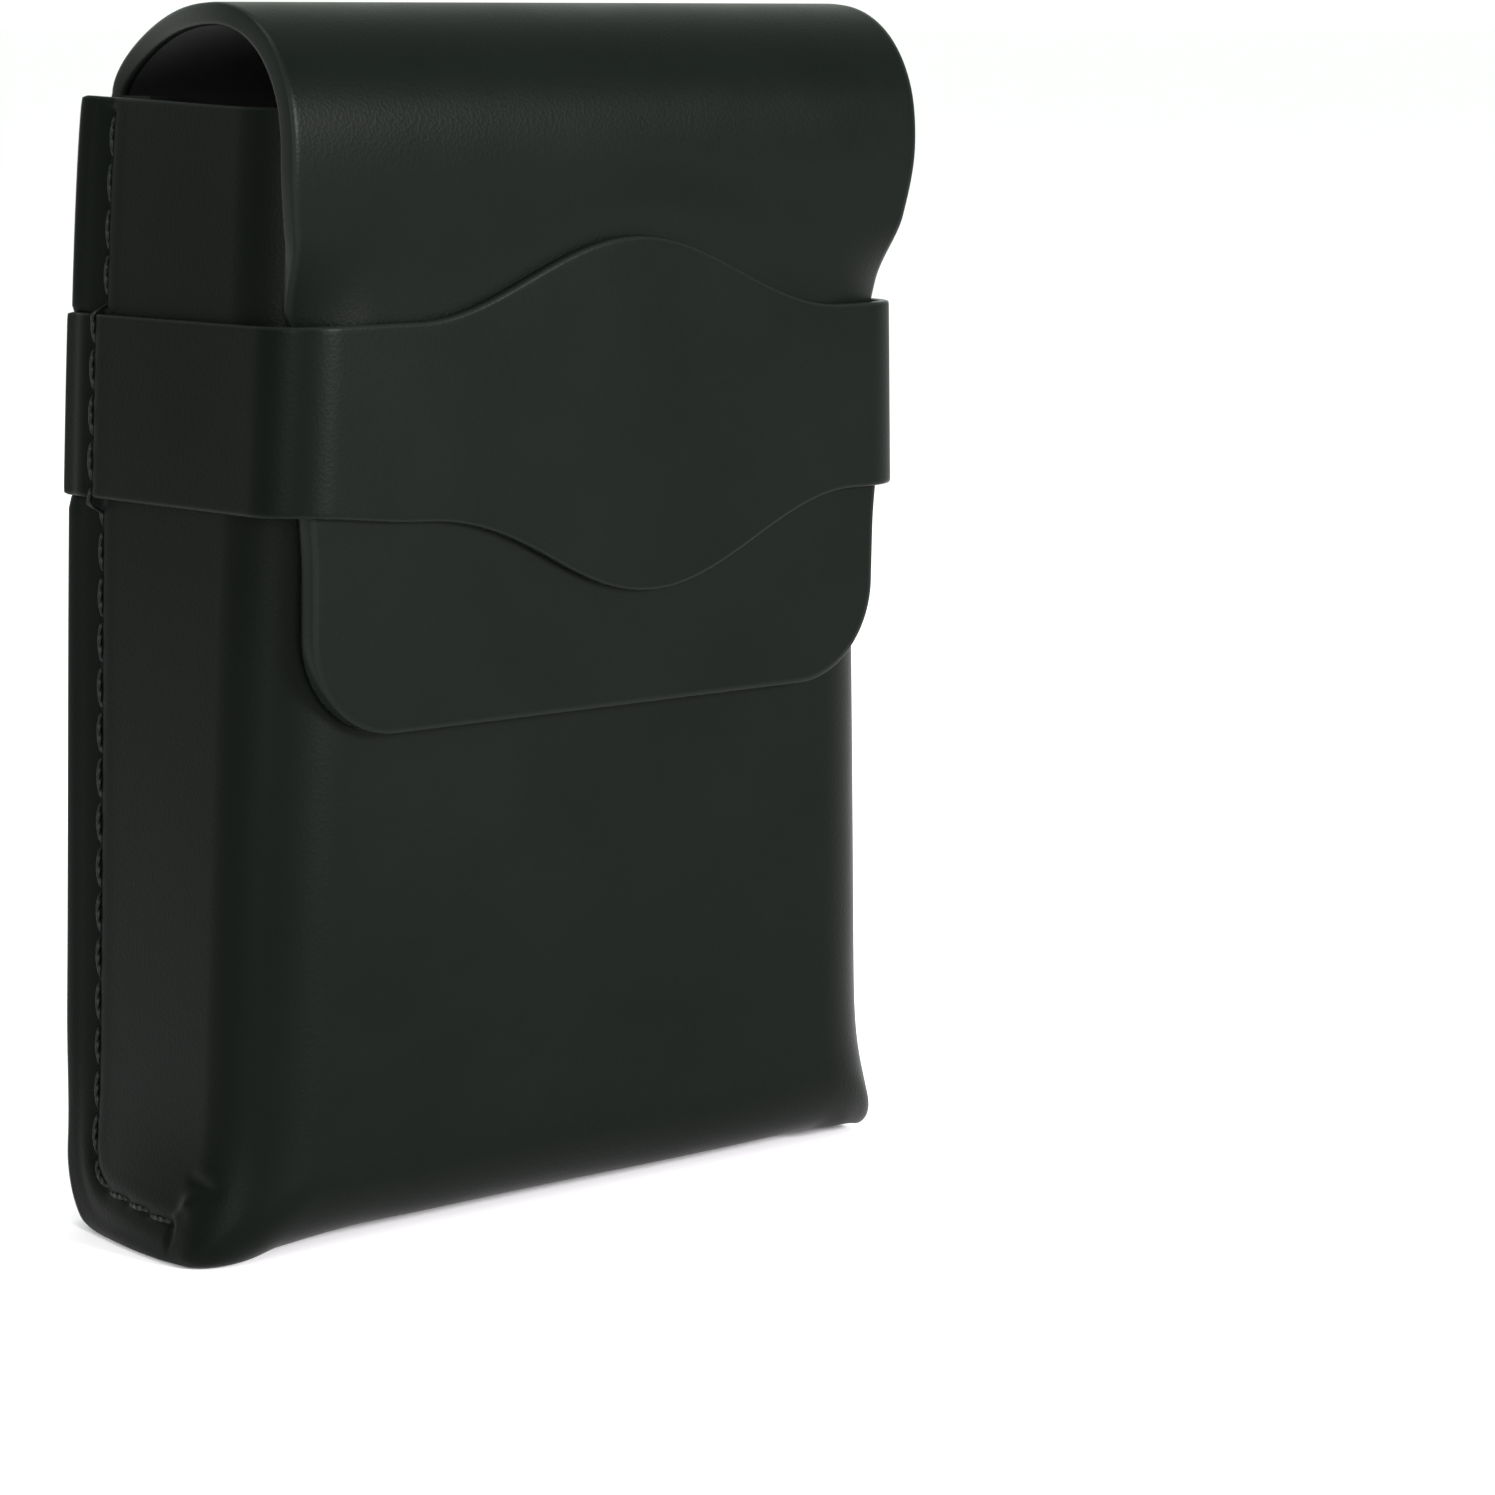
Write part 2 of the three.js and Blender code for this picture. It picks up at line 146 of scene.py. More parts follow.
def cutLeather(name, pattern, form, sheet, relief=None, seamMap=None, butt=None, edgeSteps=7):
    # A piece cut from flat leather and formed. pattern is a grid of (c, b) places on the flat piece
    # and form takes them to the outside face. The inside face lies one thickness below. The cut
    # edge is a superellipse: out by r sin(a)^p, down by t/2 (1 - cos(a)^p), with a from 0 to pi.
    thick, edge, square = sheet["leather"], sheet["edge"], sheet["square"]
    rows, columns = pattern.shape[:2]
    flat = pattern.reshape(-1, 2)
    place, out = form(flat[:, 0], flat[:, 1]), facing(form, flat[:, 0], flat[:, 1])
    raised = np.zeros(len(flat)) if relief is None else relief(flat[:, 0], flat[:, 1])
    order, closed = borderOrder(rows, columns, butt)
    border = flat[order]
    if closed:
        run = np.roll(border, -1, 0) - np.roll(border, 1, 0)
    else:
        run = np.gradient(border, axis=0)
    outward = unitRows(np.stack([run[:, 1], -run[:, 0]], -1))
    angle = np.pi * np.arange(1, edgeSteps) / edgeSteps
    reach = edge * np.sin(angle) ** square
    down = thick / 2 * (1 - np.sign(np.cos(angle)) * np.abs(np.cos(angle)) ** square)
    rim = border[None] + outward[None] * reach[:, None, None]
    rimPlace = form(rim[..., 0], rim[..., 1]) - out[order][None] * down[:, None, None]
    rimPlace += (out[order] * raised[order, None])[None] * (1 - down / thick)[:, None, None]
    wander = np.cumsum(np.hypot(np.diff(reach, prepend=0), np.diff(down, prepend=0)))
    rimFlat = border[None] + outward[None] * wander[:, None, None]
    outside, inside = place + out * raised[:, None], place - out * thick
    places = np.concatenate([outside, inside, rimPlace.reshape(-1, 3)])
    places[:, 2] = np.maximum(places[:, 2], 0)      # nothing is below the floor

    # faces: outside, inside, and the strip of the cut edge between them
    number = np.arange(rows * columns).reshape(rows, columns)
    quads = np.stack([number[:-1, :-1], number[1:, :-1], number[1:, 1:], number[:-1, 1:]], -1)
    quads = quads.reshape(-1, 4)
    inner = quads[:, ::-1] + rows * columns
    rings = 2 * rows * columns + np.arange((edgeSteps - 1) * len(order)).reshape(edgeSteps - 1, -1)
    rings = np.concatenate([order[None], rings, order[None] + rows * columns])
    ringEnds = rings[:, [0, -1]]
    after = np.roll(rings, -1, 1)
    if not closed:
        rings, after = rings[:, :-1], after[:, :-1]
    strip = np.stack([rings[:-1], after[:-1], after[1:], rings[1:]], -1).reshape(-1, 4)
    faces = [quads, inner, strip]
    caps = []
    if butt:
        row = number[-1] if butt == "last" else number[0, ::-1]
        below = row + rows * columns
        faces.append(np.stack([row[1:], row[:-1], below[:-1], below[1:]], -1))
        caps = [ringEnds[:, 0].tolist(), ringEnds[::-1, 1].tolist()]
    quadCount = [len(part) for part in faces]
    faces = np.concatenate(faces)
    mesh = bpy.data.meshes.new(name)
    mesh.from_pydata((places * mm).tolist(), [], faces.tolist() + caps)
    mesh.polygons.foreach_set("use_smooth", np.ones(len(mesh.polygons), bool))
    kind = np.zeros(len(mesh.polygons), np.int32)
    kind[quadCount[0]:quadCount[0] + quadCount[1]] = 1
    mesh.polygons.foreach_set("material_index", kind)

    hide = np.concatenate([flat, flat, rimFlat.reshape(-1, 2)]) * mm
    addMap(mesh, "hide", hide)
    if seamMap is not None:
        seamPlaces = np.concatenate([flat, flat + 1000, rimFlat.reshape(-1, 2)])
        addMap(mesh, "seam", np.stack(seamMap(seamPlaces[:, 0], seamPlaces[:, 1]), -1))
    cut = np.zeros(len(places), np.float32)
    cut[2 * len(flat):] = np.repeat(np.sin(angle) ** 0.5, len(order))
    mesh.attributes.new("cutEdge", "FLOAT", "POINT").data.foreach_set("value", cut)
    if butt:
        # the cap at a butt end keeps its own shading, so that the two sheets look like one
        capVertices = np.zeros(len(places), bool)
        capVertices[faces[-quadCount[-1]:].ravel()] = True
        capVertices[np.concatenate(caps)] = True
        ends = np.empty(len(mesh.edges) * 2, int)
        mesh.edges.foreach_get("vertices", ends)
        sharp = capVertices[ends.reshape(-1, 2)].all(1)
        mesh.attributes.new("sharp_edge", "BOOLEAN", "EDGE").data.foreach_set("value", sharp)
    mesh.validate()
    mesh.update()
    piece = bpy.data.objects.new(name, mesh)
    bpy.context.scene.collection.objects.link(piece)
    return piece


seam = {
    "inset": 5.4,            # stitch line to the back edge, near the floor,
    "draw": 0.3,             # and this much less near the top
    "start": 1.8,            # below the top edge
    "turnFrom": 11.5,        # height where the line starts to turn forward
    "footHeights": (5.2, 4.3),
    "footRun": (11.0, 24.5),  # from the back edge: end of the turn, and the last hole
    "stitches": 27,
    "thread": 0.28,          # radius
    "groove": 0.26,
    "grooveWidth": 0.55,
    "hole": 0.36,
    "puff": 0.16,            # the sewn margin swells this much beside the line
    "spring": 0.85,          # and stands out this much at its cut edge
}


def seamLine():
    # (distance from the back edge, height): down, forward along a quadratic curve, then straight
    up = np.linspace(height - seam["start"], seam["turnFrom"], 400)
    straight = np.stack([seam["inset"] - seam["draw"] * smooth((up - 20) / 80), up], -1)
    t = np.linspace(0, 1, 60)[1:, None]
    a, z = straight[-1], np.array([seam["footRun"][0], seam["footHeights"][0]])
    m = np.array([seam["inset"], seam["footHeights"][0] + 0.4])
    turn = a * (1 - t) ** 2 + 2 * m * t * (1 - t) + z * t ** 2
    last = np.array([seam["footRun"][1], seam["footHeights"][1]])
    foot = z + (last - z) * np.linspace(0, 1, 60)[1:, None]
    line = np.concatenate([straight, turn, foot])
    run = np.concatenate([[0], np.cumsum(np.linalg.norm(np.diff(line, axis=0), axis=1))])
    even = np.linspace(0, run[-1], 900)
    return even, np.stack([np.interp(even, run, line[:, i]) for i in (0, 1)], -1)


seamRun, seamPlace = seamLine()
pitch = seamRun[-1] / seam["stitches"]


def seamFrame(c, b):
    # For places on the flat side wall: distance along the stitch line, and off it toward the edge
    own = np.stack([sideEnd - np.abs(c), height - b], -1).reshape(-1, 2)
    along, across = np.zeros(len(own)), np.full(len(own), 50.0)
    near = np.flatnonzero((own[:, 0] < 34) & (own[:, 0] > -3) & (own[:, 1] > -3))
    slope = unitRows(np.gradient(seamPlace, axis=0))
    for part in np.array_split(near, max(len(near) // 4000, 1)):
        gap = own[part, None] - seamPlace[None]
        nearest = np.argmin((gap ** 2).sum(-1), 1)
        off = own[part] - seamPlace[nearest]
        side = np.sign(slope[nearest, 0] * off[:, 1] - slope[nearest, 1] * off[:, 0])
        along[part] = seamRun[nearest] + (off * slope[nearest]).sum(-1)
        across[part] = -side * np.linalg.norm(off, axis=1)
    return along.reshape(np.shape(c)), across.reshape(np.shape(c))


def seamRelief(c, b):
    # The groove pulled in by the thread, a dent at each hole, and the swollen margin beside them
    along, across = seamFrame(c, b)
    toHole = (along / pitch - np.round(along / pitch)) * pitch
    beyond = np.maximum(along - seamRun[-1], 0) + np.maximum(-along - 0.6, 0)
    here = np.exp(-(beyond / 0.8) ** 2)
    groove = -seam["groove"] * np.exp(-(across / seam["grooveWidth"]) ** 2)
    dent = -seam["hole"] * np.exp(-(across ** 2 + toHole ** 2) / 0.45 ** 2)
    swell = seam["puff"] * hump((across - 1.7) / 1.7) + 0.04 * hump((across + 1.6) / 1.5)
    return (groove + dent + swell) * here


def marginRelief(c, b):
    # The sewn margin stands out toward its cut edge, but not where the band presses on it
    along, across = seamFrame(c, b)
    up = height - b
    pressed = smooth((up - strap["bottom"] + 0.2) / 1.4) * smooth((strap["top"] + 0.2 - up) / 1.4)
    here = smooth((seamRun[-1] + 5 - along) / 8) * (1 - pressed)
    here = here * (0.3 + 0.7 * smooth((up - 4) / 20))
    return seam["spring"] * smooth((across - 0.5) / 4.0) * (across < 12) * here


def shellForm(c, b):
    # c runs round the plan from the middle of the front, b down from the top edge. A quarter circle
    # turns the front corners. A quarter ellipse, shrinking round the corner, turns the foot under.
    inward, rise = footSize(c)
    turned = (b - (height - rise)) / footLength(c)
    swing = np.clip(turned, 0, 1) * np.pi / 2
    inset = inward * (1 - np.cos(swing)) + np.maximum(turned - 1, 0) * footLength(c)
    z = np.where(b < height - rise, height - b, rise * (1 - np.sin(swing)))
    away = np.abs(c)
    flatFront = half - case["corner"]
    turn = np.clip((away - flatFront) / (case["corner"] * np.pi / 2), 0, 1) * np.pi / 2
    radius = case["corner"]
    x = np.minimum(away, flatFront) + (radius - inset) * np.sin(turn)
    beside = np.maximum(away - flatFront - radius * np.pi / 2, 0)
    y = front + radius - (radius - inset) * np.cos(turn) + beside
    x = np.sign(c) * x
    z = z - case["dip"] * smooth((back - y) / depth) * smooth((z - 0.7 * height) / (0.3 * height))
    return settle(x, y + frontBow(x, z) * np.cos(turn), z)


def footSize(c):
    # How far in, and from what height, the wall turns under
    turned = smooth((np.abs(c) - half + case["corner"]) / (case["corner"] * np.pi / 2))
    return [a + (b - a) * turned for a, b in zip(case["frontFoot"], case["sideFoot"])]


def footLength(c):
    inward, rise = footSize(c)
    return np.pi / 2 * np.sqrt((inward ** 2 + rise ** 2) / 2)


def frontBow(x, z):
    # The front swells a little below the flap and draws in above the foot, to the right
    swell = -0.5 * hump((z - 34) / 24) * hump(x / 32)
    return swell + 0.45 * hump((z - 12) / 12) * hump((x - 14) / 18)


def shellRelief(c, b):
    away, up = np.abs(c), height - b
    waves = 0.08 * np.sin(c / 13.7 + 1.1) * np.sin(b / 19.0 + 0.6)
    waves = waves + 0.05 * np.sin(c / 6.1 + b / 27.0)
    creaseLine = up - 9.0 - 0.12 * (away - 45)
    crease = -0.55 * hump((away - 44.9) / 3.4) * np.exp(-(creaseLine / 0.75) ** 2)
    pucker = 0.5 * np.exp(-((away - 46.3) / 1.3) ** 2 - ((up - 6.9) / 1.0) ** 2)
    strand = 0.28 * np.exp(-((away - 47.6 + (up - 5.8)) / 0.7) ** 2) * hump((up - 5.8) / 1.8)
    fold = -0.32 * np.exp(-((away - 48.6) / 0.45) ** 2) * hump((up - 3.4) / 2.4)
    return seamRelief(c, b) + marginRelief(c, b) + (waves + crease + pucker + strand + fold)


def shellPattern():
    run = half - case["corner"]
    cornerEnd = run + case["corner"] * np.pi / 2
    away = spread([0, run, cornerEnd - 3, cornerEnd + 4, sideEnd - 8, sideEnd - case["edge"]],
                  [1.4, 0.75, 0.42, 0.9, 0.36])
    column = np.concatenate([-away[:0:-1], away])
    footFrom = height - 17
    upper = spread([case["edge"], 4, footFrom], [0.6, 1.15])[:-1]
    foot = np.linspace(0, 1, 46)
    end = height - footSize(column)[1] + footLength(column) - case["edge"]
    b = np.concatenate([np.repeat(upper[:, None], len(column), 1),
                        footFrom + foot[:, None] * (end - footFrom)[None]])
    # the back lower corner of each side wall is a quarter circle
    low = case["sideFoot"][1]
    swing = np.clip((b - height + low) / footLength(sideEnd), 0, 1) * np.pi / 2
    up = np.where(b < height - low, height - b, low * (1 - np.sin(swing)))
    short = np.clip((case["backCurve"] - up) / case["backCurve"], 0, 1)
    cutBack = case["backCurve"] * (1 - np.sqrt(1 - short ** 2))
    outer = sideEnd - case["edge"]
    share = np.clip((np.abs(column) - cornerEnd) / (outer - cornerEnd), 0, 1)
    c = np.sign(column)[None] * (np.abs(column)[None] - share[None] * cutBack)
    return np.stack([c, b], -1)


# The back and the flap are one sheet, from under the bottom up the back and over to the front.
flap = {
    "crownHeight": corners("flap_roof")[1][2] - height,
    "spreadOver": 31.0,              # the arch grows to its full width over this distance
    "crownSetback": 26.0,            # behind the crown, the arch falls to the back's top edge
    "foremost": corners("flap_roof")[0],
    "reach": height - corners("flap_front")[0][2],
    "tuck": 0.3,                     # between the flap's face and the front
    "neck": 38.2,                    # half widths: between the side walls,
    "brow": corners("flap_roof")[1][0],   # over the front of the arch,
    "tongue": 40.35,                 # behind the band,
    "freed": 1.0,                    # it is wider by this where it leaves the band
    "end": 39.6,                     # and at the free end
    "corner": 11.0,                  # radius of the lower corners
    "curl": 2.3,                     # the band presses the edges back this far
    "lean": 1.85,                    # exponents of the arch's rear and front, 2 for an ellipse
    "full": 2.25,
    "edge": 0.8,
    "square": 0.42,
    "leather": case["leather"],
}
strap = {
    "top": height - 23.0,            # heights of its straight ends
    "bottom": height - 43.5,
    "rise": 8.3,                     # crest above the top edge
    "drop": 10.0,                    # trough below the bottom edge
    "waveHalf": 29.0,
    "crestAt": 2.6,                  # the crest and the trough are this far right of the middle
    "troughAt": 4.6,
    "dip": 1.2,                      # and the bottom edge already falls a little left of the trough
    "sag": (0.5, 1.7),               # top and bottom edge are this much lower at the right end
    "corner": 6.6,
    "leather": 1.2,
    "edge": 0.45,
    "square": 0.6,
}

foreY, foreZ = flap["foremost"][1], flap["foremost"][2]
tongueY = front - flap["tuck"] - flap["leather"]
crownY = back - flap["crownSetback"]
crownZ = height + flap["crownHeight"]


def waveAt(x, middle):
    # The band's raised cosine: 1 at its middle, 0 past its half width
    return hump((x - middle) / strap["waveHalf"])


def backLine():
    # (y, z) along the sheet's outside, from its end under the bottom to the arch's foremost line
    curve = case["backCurve"]
    q = np.linspace(0, np.pi / 2, 200)
    start = front + case["frontFoot"][0] + case["gap"]
    under = np.stack([np.linspace(start, back - curve, 60), np.zeros(60)], -1)
    turn = np.stack([back - curve + curve * np.sin(q), curve - curve * np.cos(q)], -1)
    up = np.stack([np.full(200, back), np.linspace(curve, height, 200)], -1)
    power = 2 / flap["lean"]
    rear = np.stack([crownY + (back - crownY) * np.cos(q) ** power,
                     height + (crownZ - height) * np.sin(q) ** power], -1)
    power = 2 / flap["full"]
    fore = np.stack([crownY - (crownY - foreY) * np.sin(q) ** power,
                     foreZ + (crownZ - foreZ) * np.cos(q) ** power], -1)
    line = np.concatenate([under, turn[1:], up[1:], rear[1:], fore[1:]])
    run = np.concatenate([[0], np.cumsum(np.linalg.norm(np.diff(line, axis=0), axis=1))])
    marks = {"back": run[60 + 198], "root": run[60 + 199 + 198], "crown": run[60 + 199 + 199 + 198]}
    return run, line, marks


flapRun, flapLine, flapMarks = backLine()
foreRun = flapRun[-1]


def flapForm(c, b):
    # c is the place across, b the distance along the sheet. Past the foremost line the face falls
    # straight down and eases back behind the band, by a smoothstep that ends just above the band.
    y, z = np.interp(b, flapRun, flapLine[:, 0]), np.interp(b, flapRun, flapLine[:, 1])
    hanging = b > foreRun
    z = np.where(hanging, foreZ - (b - foreRun), z)
    eased = strap["top"] + 1.2 + (strap["rise"] + 0.6) * waveAt(c * 0.94, strap["crestAt"])
    step = smooth((z - eased) / (foreZ - eased))
    squeezed = smooth((z - strap["bottom"] - 0.5) / 8) * smooth((strap["top"] + 9 - z) / 9)
    curl = flap["curl"] * (np.maximum(np.abs(c) - 31.5, 0) / 8.85) ** 2 * squeezed
    y = np.where(hanging, tongueY + (foreY - tongueY) * step + curl, y)
    y = np.where(b < 0, flapLine[0, 0] + b, y)
    widens = (1 - smooth((b - flapMarks["root"]) / 10)) * (b < flapMarks["root"] + 10)
    k = settle(np.ones_like(y), y, z)[..., 0]
    scale = 1 + widens * (k - 1)
    return settle(c / scale, y, z, widens)


def flapHalf(b):
    # Half width of the flat sheet: the back widens to the floor with the case, the neck passes
    # between the side walls, the arch spreads to its front, and quarter circles end the tongue
    y, z = np.interp(b, flapRun, flapLine[:, 0]), np.interp(b, flapRun, flapLine[:, 1])
    hanging = b > foreRun
    z = np.where(hanging, foreZ - (b - foreRun), z)
    between = (half - flap["leather"] - case["gap"]) * settle(np.ones_like(y), y, z)[..., 0]
    arch = flap["neck"] + (flap["brow"] - flap["neck"]) * smooth((back - y) / flap["spreadOver"])
    brow = flap["tongue"] + flap["freed"] * smooth((z - strap["top"] + 1.5) / 3)
    wider = flap["brow"] - flap["tongue"] - flap["freed"]
    brow = brow + wider * smooth((z - strap["top"]) / (foreZ - strap["top"]))
    brow = brow - (flap["tongue"] - flap["end"]) * smooth((strap["bottom"] + 6 - z) / 12)
    width = np.where(hanging, brow, np.where(b < flapMarks["root"], between, arch))
    end = foreRun + foreZ - height + flap["reach"] - flap["edge"]
    radius = flap["corner"] - flap["edge"]
    low = np.clip((radius - (end - b)) / radius, 0, 1)
    return width - radius * (1 - np.sqrt(1 - low ** 2))


def flapPattern(start, end, stops, steps, startEdge=0, endEdge=0):
    # The rows' stops start at 0 and stretch to fill the piece
    first, last = start + startEdge, end - endEdge
    b = first + spread(stops, steps) / stops[-1] * (last - first)
    share = spread([-1, -0.93, 0.93, 1], [0.012, 0.016, 0.012])
    c = share[None] * (flapHalf(b) - flap["edge"])[:, None]
    return np.stack([c, np.repeat(b[:, None], len(share), 1)], -1)


strapX = half + 0.25 + strap["leather"]
strapY = tongueY - 0.15 - strap["leather"]
strapRun = strapX - strap["corner"]
strapEnd = strapRun + strap["corner"] * np.pi / 2 + back - strapY - strap["corner"]


def strapForm(c, b):
    # c runs from the middle of the front round to the back edges, b down from the case's top edge
    away = np.abs(c)
    radius = strap["corner"]
    turn = np.clip((away - strapRun) / radius, 0, np.pi / 2)
    x = np.minimum(away, strapRun) + radius * np.sin(turn)
    beside = np.maximum(away - strapRun - radius * np.pi / 2, 0)
    y = strapY + radius - radius * np.cos(turn) + beside
    return settle(np.sign(c) * x, y, height - b)


def strapToShell(c):
    # The shell's own c for the same place on the side wall
    return np.sign(c) * (np.abs(c) + sideEnd - strapEnd)


def strapPattern():
    edge = strap["edge"]
    stops = [0, strapRun, strapEnd - 34, strapEnd - 7, strapEnd - edge]
    away = spread(stops, [1.2, 0.5, 1.0, 0.36])
    column = np.concatenate([-away[:0:-1], away])
    rightward = smooth((column + strapRun) / (2 * strapRun))
    top = height - strap["top"] - strap["rise"] * waveAt(column, strap["crestAt"]) + edge
    top = top + strap["sag"][0] * rightward
    bottom = height - strap["bottom"] + strap["drop"] * waveAt(column, strap["troughAt"]) - edge
    bottom = bottom + strap["sag"][1] * (rightward - 0.45) + strap["dip"] * hump((column + 24) / 17)
    share = spread([0, 0.08, 0.92, 1], [0.02, 0.035, 0.02])[:, None]
    b = top[None] + share * (bottom - top)[None]
    return np.stack([np.repeat(column[None], len(share), 0), b], -1)


def stitches(name, side):
    # Each stitch is a round thread from hole to hole. It rises as sin(pi t)^0.4 from below the
    # surface, slants a little across the line, and steps out where it crosses the band.
    count, alongSteps, roundSteps = seam["stitches"], 15, 10
    t = np.linspace(0, 1, alongSteps)[None, :, None]
    number = np.arange(count)[:, None, None]
    run = (number + 0.04 + 0.92 * t) * pitch
    own = np.stack([np.interp(run, seamRun, seamPlace[:, i]) for i in (0, 1)], -1)
    slopes = [np.interp(run, seamRun, np.gradient(seamPlace[:, i], seamRun)) for i in (0, 1)]
    slope = unitRows(np.stack(slopes, -1))
    slant = 0.3 * (0.5 - t)
    angle = np.linspace(0, 2 * np.pi, roundSteps, endpoint=False)[None, None, :]
    rise = -0.66 + 0.55 * np.sin(np.pi * t) ** 0.4
    radius = seam["thread"] * (0.8 + 0.2 * np.sin(np.pi * t))
    acrossway = slant + radius * np.cos(angle)
    upward = rise + radius * np.sin(angle)
    fromEdge = own[..., 0] + acrossway * slope[..., 1]
    z = own[..., 1] - acrossway * slope[..., 0]
    over = smooth((strap["top"] + 1.0 - z) / 1.1) * smooth((z - strap["bottom"] + 1.0) / 1.1)
    x = half + upward + over * (strapX - half)
    places = settle(side * x, back - fromEdge, z)
    base = np.arange(count * alongSteps * roundSteps).reshape(count, alongSteps, roundSteps)
    nextRound = np.roll(base, -1, 2)
    quads = np.stack([base[:, :-1], nextRound[:, :-1], nextRound[:, 1:], base[:, 1:]], -1)
    quads = quads.reshape(-1, 4)
    ends = np.concatenate([base[:, 0, ::-1], base[:, -1]])
    if side > 0:
        quads, ends = quads[:, ::-1], ends[:, ::-1]
    mesh = bpy.data.meshes.new(name)
    mesh.from_pydata((places.reshape(-1, 3) * mm).tolist(), [], quads.tolist() + ends.tolist())
    mesh.polygons.foreach_set("use_smooth", np.ones(len(mesh.polygons), bool))
    twist = np.stack([run + 0 * angle, 0 * run + angle / (2 * np.pi)], -1).reshape(-1, 2)
    addMap(mesh, "twist", twist)
    mesh.update()
    piece = bpy.data.objects.new(name, mesh)
    bpy.context.scene.collection.objects.link(piece)
    return piece


class Value:
    # A number in a material's node tree: Python's operators on it add Math nodes
    def __init__(self, tree, socket):
        self.tree, self.socket = tree, socket

    def joined(self, operation, first, second):
        node = self.tree.nodes.new("ShaderNodeMath")
        node.operation = operation
        for entry, item in zip(node.inputs, (first, second)):
            if isinstance(item, Value):
                self.tree.links.new(item.socket, entry)
            else:
                entry.default_value = item
        return Value(self.tree, node.outputs[0])

    def __add__(self, other):
        return self.joined("ADD", self, other)

    def __sub__(self, other):
        return self.joined("SUBTRACT", self, other)

    def __rsub__(self, other):
        return self.joined("SUBTRACT", other, self)

    def __mul__(self, other):
        return self.joined("MULTIPLY", self, other)

    def __truediv__(self, other):
        return self.joined("DIVIDE", self, other)

    def __pow__(self, other):
        return self.joined("POWER", self, other)

    __radd__, __rmul__ = __add__, __mul__


class Finish:
    # One material and its nodes
    def __init__(self, name):
        self.material = bpy.data.materials.new(name)
        self.material.use_nodes = True
        self.tree = self.material.node_tree
        self.tree.nodes.clear()

    def put(self, kind, settings=None, sockets=None, out=0):
        # Adds a node: its settings first, then each named socket's value or link
        node = self.tree.nodes.new(kind)
        for key, value in (settings or {}).items():
            if key == "stops":
                for stop, (place, level) in zip(node.color_ramp.elements, value):
                    stop.position, stop.color = place, (level, level, level, 1)
            else:
                setattr(node, key, value)
        for key, value in (sockets or {}).items():
            if isinstance(value, Value):
                self.tree.links.new(value.socket, node.inputs[key])
            else:
                node.inputs[key].default_value = value
        return Value(self.tree, node.outputs[out]) if len(node.outputs) else None

    def finish(self, **sockets):
        shader = self.put("ShaderNodeBsdfPrincipled", {}, sockets)
        self.put("ShaderNodeOutputMaterial", {}, {"Surface": shader})
        return self.material


def blendColours(own, mask, first, second):
    mix = own.put("ShaderNodeMix", {"data_type": "RGBA"}, {0: mask, 6: first, 7: second}, out=2)
    return mix


hideLook = {
    "colour": (0.0008, 0.0015, 0.0009, 1),
    "light": (0.0022, 0.0033, 0.0024, 1),
    "edgeColour": (0.0065, 0.0080, 0.0066, 1),
    # painted shade: this dark colour is laid into the stitch groove and the stitch holes
    "seamShadeColour": (0.0010, 0.0012, 0.0010, 1),
    "rough": 0.38,
    "grain": 0.00042,        # metres across one pebble
    "cloud": 0.021,
}


